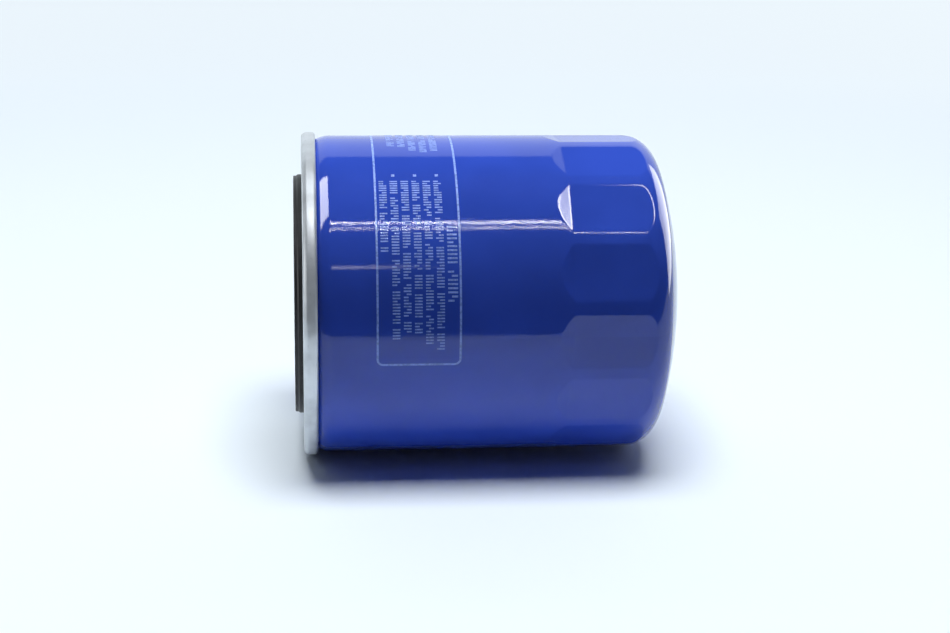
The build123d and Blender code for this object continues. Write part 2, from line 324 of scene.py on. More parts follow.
def enamel(name, colour):
    """Gloss enamel, sprayed: a fine orange peel, and a slow drift of the film's depth."""
    f = Finish(name)
    sheet = f.along_round(f.place(), GRAIN_RADIUS)
    peel = f.grain(sheet, PEEL_LUMPS, detail=2.0, roughness=0.6)
    drift = f.grain(sheet, 45, detail=2.0)
    dust = f.cells(sheet, 260) < 0.035
    tint = f.blend(scaled(colour, 0.93), scaled(colour, 1.07), drift.step(0.3, 0.7))
    film = f.blend(tint, scaled(colour, 1.5), dust * 0.35)
    slow = f.bump(drift, 0.05 * MM, 0.5)
    return f.surface(
        Base_Color=film,
        Roughness=0.030 + 0.03 * f.grain(sheet, 130) + dust * 0.15,
        Normal=f.bump(peel, 0.009 * MM, 1.0, over=slow),
        IOR=1.47,
    )


def ink_print(name, colour):
    """Screen-printed ink: slightly mottled, nearly as glossy as the paint."""
    f = Finish(name)
    sheet = f.along_round(f.place(), GRAIN_RADIUS)
    mottle = f.grain(sheet, 1600, detail=3.0)
    tone = f.blend(scaled(colour, 0.78), scaled(colour, 1.08), mottle.step(0.3, 0.65))
    return f.surface(
        Base_Color=tone,
        Roughness=0.22 + 0.12 * mottle,
        Normal=f.bump(mottle, 0.006 * MM),
    )


def plated(name, colour, rough=0.22, turned=0.6, dents=0.0, metal=1.0):
    """Plated sheet: fine marks round the axis, cloudy plating, and small scuffs."""
    f = Finish(name)
    point = f.place()
    x, turn, out = f.round_axis(point)
    rings = f.node("ShaderNodeCombineXYZ", inputs={0: x * 9000, 1: turn * 14, 2: out * 9000})
    marks = f.grain(rings, 1.0, detail=3.0, roughness=0.6)
    cloud = f.grain(point, 140, detail=3.0)
    scuffs = f.grain(point, 900, detail=4.0, roughness=0.7).step(0.62, 0.72)
    tone = f.blend(scaled(colour, 0.80), scaled(colour, 1.08), cloud.step(0.3, 0.7))
    shade = f.blend(tone, scaled(colour, 0.62), scuffs * 0.5)
    normal = f.bump(marks, 0.004 * MM, turned)
    if dents:
        normal = f.bump(f.grain(point, 110, detail=1.0), dents, 1.0, over=normal)
    return f.surface(
        Base_Color=shade,
        Metallic=metal - scuffs * 0.12,
        Roughness=rough + 0.14 * marks + 0.10 * cloud,
        Normal=normal,
    )


def moulded_rubber(name, colour, dust=0.5):
    """Moulded rubber: satin skin, fine pores, and a bloom of pale dust in patches."""
    f = Finish(name)
    point = f.place()
    pores = f.grain(point, 3800, detail=2.0)
    patches = f.grain(point, 190, detail=4.0, roughness=0.65)
    bloom = patches.step(0.48, 0.75) * dust
    tone = f.blend(colour, (0.12, 0.12, 0.12), bloom * 0.35)
    return f.surface(
        Base_Color=tone,
        Roughness=0.42 + 0.25 * bloom + 0.08 * pores,
        Normal=f.bump(pores, 0.010 * MM),
        Specular_IOR_Level=0.45,
    )


def pressed_steel(name, colour, oil=0.5):
    """Pressed steel plate with a mottled grey coat and a thin film of oil."""
    f = Finish(name)
    point = f.place()
    grit = f.grain(point, 2600, detail=3.0)
    patches = f.grain(point, 120, detail=4.0, roughness=0.6)
    tone = f.blend(scaled(colour, 0.68), scaled(colour, 1.12), patches.step(0.3, 0.72))
    film = f.blend(tone, scaled(colour, 0.55), patches.step(0.55, 0.8) * oil)
    return f.surface(
        Base_Color=film,
        Metallic=0.92,
        Roughness=0.34 + 0.16 * grit - 0.14 * patches.step(0.5, 0.8),
        Normal=f.bump(grit, 0.008 * MM),
    )


def resin_paper(name, colour):
    """Resin-treated paper: tangled fibres and slightly darker flecks."""
    f = Finish(name)
    point = f.place()
    along = f.stretch(point, (900, 2600, 2600))
    fibres = f.grain(along, 1.0, detail=4.0, roughness=0.7, distortion=0.8)
    flecks = f.cells(point, 900) < 0.12
    tone = f.blend(scaled(colour, 0.74), scaled(colour, 1.06), fibres.step(0.3, 0.7))
    return f.surface(
        Base_Color=f.blend(tone, scaled(colour, 0.5), flecks * 0.5),
        Roughness=0.86 + 0.08 * fibres,
        Normal=f.bump(fibres, 0.03 * MM),
    )


def cured_compound(name, colour):
    """Cured adhesive or sealing compound: lumpy, with small bubbles."""
    f = Finish(name)
    point = f.place()
    lumps = f.grain(point, 420, detail=2.0)
    bubbles = f.cells(point, 750).step(0.0, 0.30)
    tone = f.blend(scaled(colour, 0.8), scaled(colour, 1.1), lumps.step(0.3, 0.7))
    return f.surface(
        Base_Color=tone,
        Roughness=0.40 + 0.2 * lumps,
        Normal=f.bump(bubbles * 0.4 + lumps, 0.05 * MM),
    )


def spring_wire(name, colour):
    """Oil-tempered wire: mottled blue-black scale."""
    f = Finish(name)
    point = f.place()
    scale = f.grain(point, 850, detail=4.0, roughness=0.65)
    tone = f.blend(scaled(colour, 0.55), scaled(colour, 1.25), scale.step(0.32, 0.7))
    return f.surface(
        Base_Color=tone,
        Metallic=0.9,
        Roughness=0.30 + 0.2 * scale,
        Normal=f.bump(scale, 0.006 * MM),
    )


# Mesh making. A section is a list of (distance from the sealing face, radius), in metres.


def arc(centre, radius, start, end, steps):
    """Points on an arc, both ends included, with angles in degrees."""
    points = []
    for i in range(steps + 1):
        angle = math.radians(start + (end - start) * i / steps)
        points.append((centre[0] + radius * math.cos(angle), centre[1] + radius * math.sin(angle)))
    return points


def bend(before, corner, after, radius, steps):
    """The points of one rounded corner."""
    before, corner, after = Vector(before), Vector(corner), Vector(after)
    if radius <= 0:
        return [corner]
    a = (before - corner).normalized()
    b = (after - corner).normalized()
    half = a.angle(b) / 2
    centre = corner + (a + b).normalized() * (radius / math.sin(half))
    first = corner + a * (radius / math.tan(half)) - centre
    last = corner + b * (radius / math.tan(half)) - centre
    sweep = first.angle(last)
    points = []
    for i in range(steps + 1):
        t = i / steps
        share = math.sin((1 - t) * sweep) * first + math.sin(t * sweep) * last
        points.append(centre + share / math.sin(sweep))
    return points


def rounded(points, radii, steps=6):
    """An open line through the points, each inner corner rounded to its radius."""
    line = [Vector(points[0])]
    for before, corner, after, radius in zip(points, points[1:], points[2:], radii):
        line += bend(before, corner, after, radius, steps)
    line.append(Vector(points[-1]))
    return line


def rounded_loop(points, radii, steps=5):
    """A closed outline, each corner rounded to its radius; radii and points are in mm."""
    count = len(points)
    points = [Vector(p) * MM for p in points]
    loop = []
    for i in range(count):
        radius = radii[i] if hasattr(radii, "__len__") else radii
        loop += bend(points[i - 1], points[i], points[(i + 1) % count], radius * MM, steps)
    return loop


def in_mm(points):
    """Points given in millimetres, in metres."""
    return [(x * MM, y * MM) for x, y in points]


def sheet_section(line, thickness, end_steps=4):
    """The closed outline of a sheet that follows a line, with rounded edges."""
    half = thickness / 2
    normals = []
    for i in range(len(line)):
        along = (line[min(i + 1, len(line) - 1)] - line[max(i - 1, 0)]).normalized()
        normals.append(Vector((-along.y, along.x)))
    outline = [p + n * half for p, n in zip(line, normals)]
    for end, sign in ((-1, 1), (0, -1)):
        n = normals[end] * sign
        out = Vector((n.y, -n.x))
        for i in range(1, end_steps):
            angle = math.pi * i / end_steps
            outline.append(line[end] + (n * math.cos(angle) + out * math.sin(angle)) * half)
        if end == -1:
            outline += [p - m * half for p, m in zip(reversed(line), reversed(normals))]
    return outline


def new_piece(name, vertices, faces, material, body, replaced=(), sharp=35.0):
    """Makes a mesh piece, shades it, paints it and puts it on its body."""
    mesh = bpy.data.meshes.new(name)
    mesh.from_pydata(vertices, [], faces)
    mesh.validate()
    mesh.materials.append(material)
    mesh.shade_smooth()
    mesh.set_sharp_from_angle(angle=math.radians(sharp))
    piece = bpy.data.objects.new(name, mesh)
    bpy.context.scene.collection.objects.link(piece)
    if body:
        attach(piece, body)
    if replaced:
        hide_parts(*replaced)
    return piece


def revolved(section, segments, closed=True, shape=None):
    """Vertices and faces of a section turned about the axis; shape may change each radius."""
    vertices = []
    rings = []
    for s, r in section:
        if r < 1e-7:
            rings.append([len(vertices)] * segments)
            vertices.append((SEAL_X + s, 0, 0))
            continue
        rings.append(list(range(len(vertices), len(vertices) + segments)))
        for i in range(segments):
            angle = 2 * math.pi * i / segments
            radius = shape(s, r, angle) if shape else r
            vertices.append((SEAL_X + s, radius * math.cos(angle), radius * math.sin(angle)))
    pairs = list(zip(rings, rings[1:]))
    if closed:
        pairs.append((rings[-1], rings[0]))
    faces = []
    for one, two in pairs:
        for i in range(segments):
            j = (i + 1) % segments
            corners = []
            for v in (one[i], one[j], two[j], two[i]):
                if v not in corners:
                    corners.append(v)
            if len(corners) > 2:
                faces.append(corners)
    return vertices, faces


def bar_faces(rows, count):
    """The faces of a closed bar made of rows of as many points, with a face on each end."""
    faces = []
    for row in range(rows - 1):
        for i in range(count):
            j = (i + 1) % count
            a, b = row * count, (row + 1) * count
            faces.append([a + i, a + j, b + j, b + i])
    faces.append(list(reversed(range(count))))
    faces.append([(rows - 1) * count + i for i in range(count)])
    return faces


def outward(vertices, faces):
    """The faces turned so that the closed mesh's volume is positive."""
    volume = 0.0
    for face in faces:
        a = Vector(vertices[face[0]])
        for b, c in zip(face[1:], face[2:]):
            volume += a.dot(Vector(vertices[b]).cross(Vector(vertices[c])))
    return faces if volume > 0 else [list(reversed(face)) for face in faces]


def turned_piece(name, section, material, body, replaced=(), segments=192, shape=None, sharp=35.0):
    """A closed section turned about the axis, as a piece."""
    vertices, faces = revolved(section, segments, True, shape)
    return new_piece(name, vertices, outward(vertices, faces), material, body, replaced, sharp)


def smooth_min(a, b, width):
    """The smaller of two lengths, with the corner between them rounded."""
    h = max(0.0, min(1.0, 0.5 + 0.5 * (b - a) / width))
    return b + (a - b) * h - width * h * (1 - h)


def cutter(shapes):
    """One mesh object out of several closed shapes, to be taken away from a piece."""
    vertices, faces = [], []
    for points, sides in shapes:
        shift = len(vertices)
        vertices += points
        faces += [[i + shift for i in face] for face in sides]
    mesh = bpy.data.meshes.new("cutter")
    mesh.from_pydata(vertices, [], faces)
    tool = bpy.data.objects.new("cutter", mesh)
    bpy.context.scene.collection.objects.link(tool)
    return tool


def carve(piece, shapes, sharp=35.0):
    """Takes closed shapes away from a piece."""
    tool = cutter(shapes)
    modifier = piece.modifiers.new("holes", "BOOLEAN")
    modifier.operation = "DIFFERENCE"
    modifier.solver = "EXACT"
    modifier.object = tool
    bpy.context.view_layer.update()
    graph = bpy.context.evaluated_depsgraph_get()
    carved = bpy.data.meshes.new_from_object(piece.evaluated_get(graph))
    piece.modifiers.clear()
    materials = list(piece.data.materials)
    piece.data = carved
    if not carved.materials:
        for material in materials:
            carved.materials.append(material)
    carved.shade_smooth()
    carved.set_sharp_from_angle(angle=math.radians(sharp))
    bpy.data.objects.remove(tool)
    return piece


def pin(start, axis, profile, segments=40):
    """A closed turned shape along any axis; profile lists (distance, radius)."""
    axis = Vector(axis).normalized()
    one = axis.orthogonal().normalized()
    two = axis.cross(one)
    vertices = []
    for distance, radius in profile:
        for i in range(segments):
            angle = 2 * math.pi * i / segments
            side = one * math.cos(angle) + two * math.sin(angle)
            vertices.append(tuple(Vector(start) + axis * distance + side * radius))
    return vertices, bar_faces(len(profile), segments)


def prism(outline, start, end):
    """A closed shape with an outline across the axis, between two distances along it."""
    vertices = [(SEAL_X + s, y, z) for s in (start, end) for y, z in outline]
    return vertices, outward(vertices, bar_faces(2, len(outline)))


def wire(points, radius, sides):
    """A round wire that follows a line of points, with softly rounded ends."""
    points = [Vector(p) for p in points]
    along = (points[1] - points[0]).normalized()
    normal = along.orthogonal().normalized()
    rings = []
    for i, point in enumerate(points):
        ahead = points[min(i + 1, len(points) - 1)] - points[max(i - 1, 0)]
        ahead.normalize()
        normal = (normal - ahead * normal.dot(ahead)).normalized()
        rings.append((point, ahead, normal.copy()))
    profile = []
    for shift, share in ((0.0, 0.55), (0.08, 0.82), (0.3, 1.0)):
        profile.append((rings[0], shift * radius, share))
    profile += [(ring, 0.0, 1.0) for ring in rings[1:-1]]
    for shift, share in ((-0.3, 1.0), (-0.08, 0.82), (0.0, 0.55)):
        profile.append((rings[-1], shift * radius, share))
    vertices = []
    for (point, ahead, side), shift, share in profile:
        up = ahead.cross(side)
        for i in range(sides):
            angle = 2 * math.pi * i / sides
            out = side * math.cos(angle) + up * math.sin(angle)
            vertices.append(tuple(point + ahead * shift + out * radius * share))
    return vertices, outward(vertices, bar_faces(len(profile), sides))


# The can


# The can's middle line from its hook to the plain wall, in mm, and the bends at its corners
CAN_HOOK = (
    (4.45, 41.0), (3.05, 41.0), (3.05, 39.8), (5.76, 39.8), (7.6, 40.75), (12.0, 40.75),
)
CAN_HOOK_BENDS = (0.5, 0.5, 0.7, 7.0)
WALL_START = 12 * MM
RAMP_BLEND, FLAT_BLEND = 0.08 * MM, 0.09 * MM


def can_line(sizes, side):
    """One face of the can's sheet, from its hook to the apex, before the flutes."""
    half = sizes.sheet / 2
    hook = rounded(in_mm(CAN_HOOK), [b * MM for b in CAN_HOOK_BENDS], steps=16)
    points = []
    for i, point in enumerate(hook[:-1]):
        along = (hook[i + 1] - hook[max(i - 1, 0)]).normalized()
        points.append((point.x - along.y * half * side, point.y + along.x * half * side))
    inset = half - half * side
    wall = sizes.radius - inset
    low = sizes.radius - sizes.corner_radius
    dome_radius = (low ** 2 + sizes.dome_rise ** 2) / (2 * sizes.dome_rise)
    dome_centre = APEX_X - SEAL_X - dome_radius
    bend_radius = sizes.corner_radius - inset
    corner = dome_centre + math.sqrt((dome_radius - sizes.corner_radius) ** 2 - low ** 2)
    edge = math.degrees(math.atan2(low, corner - dome_centre))
    first, last = sizes.ramp_start - 0.8 * MM, sizes.ramp_end + 0.8 * MM
    for low_end, high_end, steps in ((WALL_START, first, 24), (first, last, 44), (last, corner, 16)):
        points += [(low_end + (high_end - low_end) * i / steps, wall) for i in range(steps)]
    points += arc((corner, low), bend_radius, 90, edge, 48)
    points += arc((dome_centre, 0), dome_radius - inset, edge, 0, 40)[1:]
    points[-1] = (points[-1][0], 0.0)
    return points


def can_shape(sizes, inset):
    """How the flutes cut into the can's outline."""
    step = 2 * math.pi / sizes.flutes
    slope = (sizes.radius - sizes.flat_radius) / (sizes.ramp_end - sizes.ramp_start)

    def shape(s, r, angle):
        if s < sizes.ramp_start - 1.5 * MM:
            return r
        local = (angle - math.pi - sizes.flute_turn + step / 2) % step - step / 2
        ramp = sizes.radius - slope * (s - sizes.ramp_start)
        depth = -smooth_min(-sizes.flat_radius, -ramp, RAMP_BLEND)
        cut = (depth - inset) / math.cos(local)
        return smooth_min(r, cut, FLAT_BLEND)

    return shape


def make_can(sizes):
    """The can as one closed shell of sheet."""
    segments = 720
    v_out, f_out = revolved(can_line(sizes, 1), segments, False, can_shape(sizes, 0.0))
    v_in, f_in = revolved(can_line(sizes, -1), segments, False, can_shape(sizes, sizes.sheet))
    shift = len(v_out)
    vertices = v_out + v_in
    faces = f_out + [[i + shift for i in reversed(face)] for face in f_in]
    for i in range(segments):
        j = (i + 1) % segments
        faces.append([shift + i, shift + j, j, i])
    paint = enamel("gloss_blue_enamel", tuple(sizes.paint))
    return new_piece(
        "can_shell", vertices, outward(vertices, faces), paint, "housing", ["can"], sharp=50.0
    )


# The print on the can. A mark is a closed list of (along, round) points; round is an angle.


def print_piece(name, marks, radius, material):
    """Thin raised marks laid on the can; a mark may have a hole of as many points."""
    depth = 0.012 * MM
    vertices, faces = [], []
    for outline, hole in marks:
        count = len(outline)
        base = len(vertices)
        for line in (outline, hole) if hole else (outline,):
            for lift in (-depth, depth):
                for along, turn in line:
                    r = radius + lift
                    vertices.append((SEAL_X + along, -r * math.cos(turn), r * math.sin(turn)))
        low, high = base, base + count
        walls = [(low, high, 1)]
        if hole:
            low_in, high_in = base + 2 * count, base + 3 * count
            walls.append((low_in, high_in, -1))
            for i in range(count):
                j = (i + 1) % count
                faces.append([low + j, low + i, low_in + i, low_in + j])
                faces.append([high + i, high + j, high_in + j, high_in + i])
        else:
            faces.append([low + i for i in reversed(range(count))])
            faces.append([high + i for i in range(count)])
        for a, b, way in walls:
            for i in range(count):
                j = (i + 1) % count
                quad = [a + i, a + j, b + j, b + i]
                faces.append(quad if way > 0 else list(reversed(quad)))
    return new_piece(name, vertices, outward(vertices, faces), material, "housing")


def frame_mark(low, high, bottom, top, corner, radius, inset):
    """A rounded rectangle on the can, finely divided round it."""
    a, b = low + inset, high - inset
    c, d = bottom * radius + inset, top * radius - inset
    corner -= inset
    runs = 220
    points = arc((b - corner, c + corner), corner, -90, 0, 6)
    points += [(b, c + corner + (d - c - 2 * corner) * i / runs) for i in range(1, runs)]
    points += arc((b - corner, d - corner), corner, 0, 90, 6)
    points += arc((a + corner, d - corner), corner, 90, 180, 6)
    points += [(a, d - corner - (d - c - 2 * corner) * i / runs) for i in range(1, runs)]
    points += arc((a + corner, c + corner), corner, 180, 270, 6)
    return [(x, y / radius) for x, y in points]


def tick(s, height, turn, width, radius):
    """A small upright bar: s is its foot, and width runs round the can."""
    half = width / radius / 2
    near, far = turn - half, turn + half
    return [(s, near), (s + height, near), (s + height, far), (s, far)], None


def stroke_row(s, height, start, end, pitch, radius, chance):
    """A row of plain upright strokes in uneven groups. They stand for printing and spell nothing."""
    marks = []
    turn, last = math.radians(start), math.radians(end)
    while turn > last:
        for k in range(chance.randint(5, 15)):
            share = chance.choice((1.0, 1.0, 0.62))
            foot = s + height * (1 - share) * chance.choice((0, 1))
            if turn > last:
                marks.append(tick(foot * MM, share * height * MM, turn, 0.2 * height * MM, radius))
            turn -= pitch * MM / radius
        turn -= 1.3 * pitch * MM / radius
    return marks


# Rows of strokes: distance from the sealing face and height in mm, and where they start in degrees.
# The strokes of a heading and of a row are so many mm apart round the can.
HEADING = (37.0, 2.4, 39.0)
HEADING_STROKE, ROW_STROKE = 1.0, 0.74
FIRST_ROW, ROW_PITCH, ROW_COUNT, ROW_HEIGHT = 34.35, 2.69, 6, 1.85
FRONT_START, TOP_START = 58.0, 119.0


def make_print(sizes, radius):
    """The printed frame, and rows of plain strokes in place of printing."""
    ink = ink_print("print_ink", tuple(sizes.ink))
    frame_sizes = (sizes.low, sizes.high, sizes.bottom, sizes.top, sizes.corner, radius)
    outer, inner = frame_mark(*frame_sizes, 0.0), frame_mark(*frame_sizes, sizes.line)
    print_piece("print_frame", [(outer, inner)], radius, ink)
    chance = random.Random(7)
    s, height, start = HEADING
    front, top = stroke_row(s, height, start, start - 27, HEADING_STROKE, radius, chance), []
    for k in range(ROW_COUNT):
        s = FIRST_ROW - ROW_PITCH * k
        end = chance.uniform(-5, 3) if k < ROW_COUNT - 1 else 30
        front += stroke_row(s, ROW_HEIGHT, FRONT_START, end, ROW_STROKE, radius, chance)
        if k % 2 == 0:
            bullet = math.radians(FRONT_START + 3)
            front.append(tick((s + 0.5) * MM, 0.8 * MM, bullet, 0.8 * MM, radius))
        if k < ROW_COUNT - 1:
            end = TOP_START - chance.uniform(38, 46)
            top += stroke_row(s, ROW_HEIGHT, TOP_START, end, ROW_STROKE, radius, chance)
    print_piece("print_rows_front", front, radius, ink)
    print_piece("print_rows_top", top, radius, ink)


# The threaded end


# The seaming lid's middle line from its bore to the end of its hook, in mm, and its bends
LID = (
    (2.5, 26.9), (5.3, 26.9), (5.3, 31.5), (2.9, 31.5), (2.9, 36.0), (5.3, 37.6),
    (5.3, 39.2), (2.4, 39.2), (2.4, 41.6), (5.36, 41.6), (5.36, 40.4), (3.7, 40.4),
)
LID_BENDS = (0.4, 0.4, 0.7, 1.0, 0.6, 0.4, 0.6, 0.95, 0.5, 0.5)


def make_seam(sizes):
    """The seaming lid, rolled over the can's edge, and the compound inside the roll."""
    line = rounded(in_mm(LID), [b * MM for b in LID_BENDS], steps=10)
    section = sheet_section(line, sizes.lid_sheet)

    roll_start, skin = 40.9 * MM, 41.4 * MM
    edge, run = 3.25 * MM, 0.35 * MM
    ripple, dip = 0.03 * MM, 0.10 * MM

    def rolled(s, r, angle):
        if r < roll_start:
            return r
        where = Vector((math.cos(angle) * 5, math.sin(angle) * 5, s * 500))
        step = max(0.0, min(1.0, (edge - s) / run))
        step = step * step * (3 - 2 * step) if r > skin else 0.0
        return r - ripple * max(0.0, noise.noise(where) + 0.3) - dip * step

    zinc = plated("dull_zinc", tuple(sizes.zinc), rough=0.26, turned=0.7, dents=0.02 * MM, metal=0.60)
    turned_piece("seaming_lid_rolled", section, zinc, "housing", ["seaming_lid"], 480, rolled)
    compound = cured_compound("seam_compound_grey", (0.20, 0.20, 0.19))
    section = rounded_loop([(4.73, 40.85), (5.04, 40.85), (5.04, 41.15), (4.73, 41.15)], 0.08)
    turned_piece("seam_compound_bead", section, compound, "housing", ["seam_compound"], 180)


def make_gasket(sizes):
    """The moulded gasket, with its narrower nose."""
    outer, inner = sizes.gasket_outer / MM, sizes.gasket_inner / MM
    section = rounded_loop(
        [
            (0, inner + 0.35), (0, outer - 0.35), (0.75, outer - 0.35), (1.15, outer),
            (4.9, outer), (4.9, inner), (1.15, inner), (0.75, inner + 0.35),
        ],
        (0.30, 0.30, 0.10, 0.15, 0.40, 0.40, 0.15, 0.10), steps=6,
    )
    rubber = moulded_rubber("gasket_rubber_black", tuple(sizes.rubber))
    turned_piece("gasket_ring", section, rubber, "housing", ["gasket"], 300)


def make_base_plate(sizes):
    """The pressed base plate: its stud thread, its collar and its ring of inlet holes."""
    front, end = 5.6 * MM, 19.6 * MM
    mouth = sizes.thread_minor + 0.8 * MM
    section = rounded(
        in_mm([
            (5.6, mouth / MM), (5.6, 38.8), (9.6, 38.8), (9.6, 13.2), (19.6, 13.2), (19.6, mouth / MM),
        ]),
        [0.5 * MM, 1.2 * MM, 1.2 * MM, 0.6 * MM], steps=6,
    )
    rows = 112
    bore = [(end + (front - end) * i / rows, mouth) for i in range(1, rows)]
    pitch, minor = sizes.thread_pitch, sizes.thread_minor
    depth = sizes.thread_major - minor

    def cut_thread(s, r, angle):
        if abs(r - mouth) > 1e-7 or s <= front + 1e-7 or s >= end - 1e-7:
            return r
        phase = (s / pitch - angle / (2 * math.pi)) % 1.0
        share = max(0.0, min(1.0, (0.75 - abs(2 * phase - 1)) / 0.62))
        cone = minor + 0.8 * MM - min(s - front, end - s)
        return max(minor + depth * share, cone)

    section = [(p.x, p.y) for p in section] + bore
    steel = pressed_steel("base_plate_steel", (0.30, 0.30, 0.31))
    piece = turned_piece(
        "base_plate_threaded", section, steel, "housing", ["base_plate"],
        144, cut_thread, 30.0,
    )
    count, circle = 8, 20 * MM
    drill = [(-0.5, 3.85), (0.25, 3.1), (0.4, 3.0), (3.8, 3.0), (4.5, 3.5)]
    holes = []
    for k in range(count):
        angle = 2 * math.pi * k / count
        start = (SEAL_X + front, circle * math.cos(angle), circle * math.sin(angle))
        holes.append(pin(start, (1, 0, 0), in_mm(drill)))
    carve(piece, holes, 30.0)


def make_non_return_valve():
    """The rubber non-return valve: its hub is clamped, and its skirt lifts off the holes."""
    section = rounded_loop(
        [
            (13.2, 13.25), (16.98, 13.25), (16.98, 16.8), (15.5, 16.8), (14.95, 15.0), (13.6, 15.3),
            (12.1, 17.7), (10.95, 22.0), (10.6, 25.6), (9.7, 25.6), (9.75, 24.6), (10.1, 21.6),
            (11.15, 16.9), (12.2, 14.6),
        ],
        (0.3, 0.2, 0.4, 0.3, 0.5, 0.9, 1.4, 1.4, 0.4, 0.15, 0.3, 1.4, 1.2, 0.5), steps=6,
    )
    rubber = moulded_rubber("valve_rubber_black", (0.016, 0.015, 0.015), dust=0.3)
    nodes = ["non_return_valve_hub", "non_return_valve_lip"]
    valve = turned_piece("non_return_valve", section, rubber, None, nodes, 160)
    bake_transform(valve)


# The filter element


def make_end_caps(sizes):
    """The element's two pressed end caps and the potting that holds the paper in them."""
    steel = plated("cap_tinplate", tuple(sizes.cap_colour), rough=0.30, turned=0.5)
    glue = cured_compound("potting_plastisol", tuple(sizes.potting_colour))
    bends = [0.5 * MM] * 2
    lower = rounded(in_mm([(19.0, 13.7), (17.2, 13.7), (17.2, 35.8), (21.0, 35.8)]), bends, steps=8)
    upper = rounded(in_mm([(81.0, 10.6), (84.8, 10.6), (84.8, 35.8), (81.0, 35.8)]), bends, steps=8)
    for line, end in ((lower, "lower"), (upper, "upper")):
        section = sheet_section(line, 0.4 * MM)
        turned_piece(f"end_cap_{end}", section, steel, "element", [f"{end}_end_cap"], 240)

    def poured(s, r, angle):
        wave = noise.noise(Vector((math.cos(angle) * 6, math.sin(angle) * 6, s * 700)))
        return r - 0.10 * MM * (wave + 0.6) if r > 30 * MM else r

    for start, end in ((17.42, "lower"), (83.22, "upper")):
        section = rounded_loop(
            [(start, 16.1), (start + 1.36, 16.1), (start + 1.36, 35.1), (start, 35.1)], 0.35
        )
        turned_piece(f"potting_{end}", section, glue, "element", [f"{end}_potting"], 240, poured)


def make_centre_tube():
    """The perforated tube: flat cells, each with a punched hole, wrapped into a cylinder."""
    start, end = 17.45 * MM, 84.55 * MM
    margin, punch = 4 * MM, 2 * MM
    rows, across, side = 9, 10, 8
    pitch = (end - start - 2 * margin) / rows
    turn = 2 * math.pi / across
    outer = 16.0 * MM
    inner = outer - 0.5 * MM
    vertices, faces, seen = [], [], {}

    def corner(s, angle, r):
        key = (round(s * 1e7), round((angle % (2 * math.pi)) * 1e6) % 6283185, round(r * 1e7))
        if key not in seen:
            seen[key] = len(vertices)
            vertices.append((SEAL_X + s, r * math.cos(angle), r * math.sin(angle)))
        return seen[key]

    for row in range(rows):
        for column in range(across):
            middle = start + margin + pitch * (row + 0.5)
            angle = turn * (column + (0.5 if row % 2 else 0.0))
            edge, hole = [], []
            for k in range(4 * side):
                t = (k % side) / side * 2 - 1
                u, v = ((t, -1), (1, t), (-t, 1), (-1, -t))[k // side]
                edge.append((middle + u * pitch / 2, angle + v * turn / 2))
                way = math.atan2(v * turn * outer, u * pitch)
                hole.append((middle + punch * math.cos(way), angle + punch * math.sin(way) / outer))
            for k in range(4 * side):
                j = (k + 1) % (4 * side)
                border = (edge[k], edge[j], hole[j], hole[k])
                out = [corner(*point, outer) for point in border]
                low = [corner(*point, inner) for point in border]
                faces.append(out)
                faces.append(list(reversed(low)))
                faces.append([out[3], out[2], low[2], low[3]])
    for one, two in ((start, start + margin), (end - margin, end)):
        for k in range(across * side):
            a, b = turn * (k / side - 0.5), turn * ((k + 1) / side - 0.5)
            for r, way in ((outer, 1), (inner, -1)):
                quad = [corner(one, a, r), corner(one, b, r), corner(two, b, r), corner(two, a, r)]
                faces.append(quad if way > 0 else list(reversed(quad)))
            s, way = (one, 1) if one == start else (two, -1)
            quad = [corner(s, a, inner), corner(s, b, inner), corner(s, b, outer), corner(s, a, outer)]
            faces.append(quad if way > 0 else list(reversed(quad)))
    steel = pressed_steel("tube_steel_oiled", (0.42, 0.43, 0.44), oil=0.3)
    new_piece(
        "centre_tube_perforated", vertices, outward(vertices, faces), steel,
        "element", ["centre_tube"],
    )


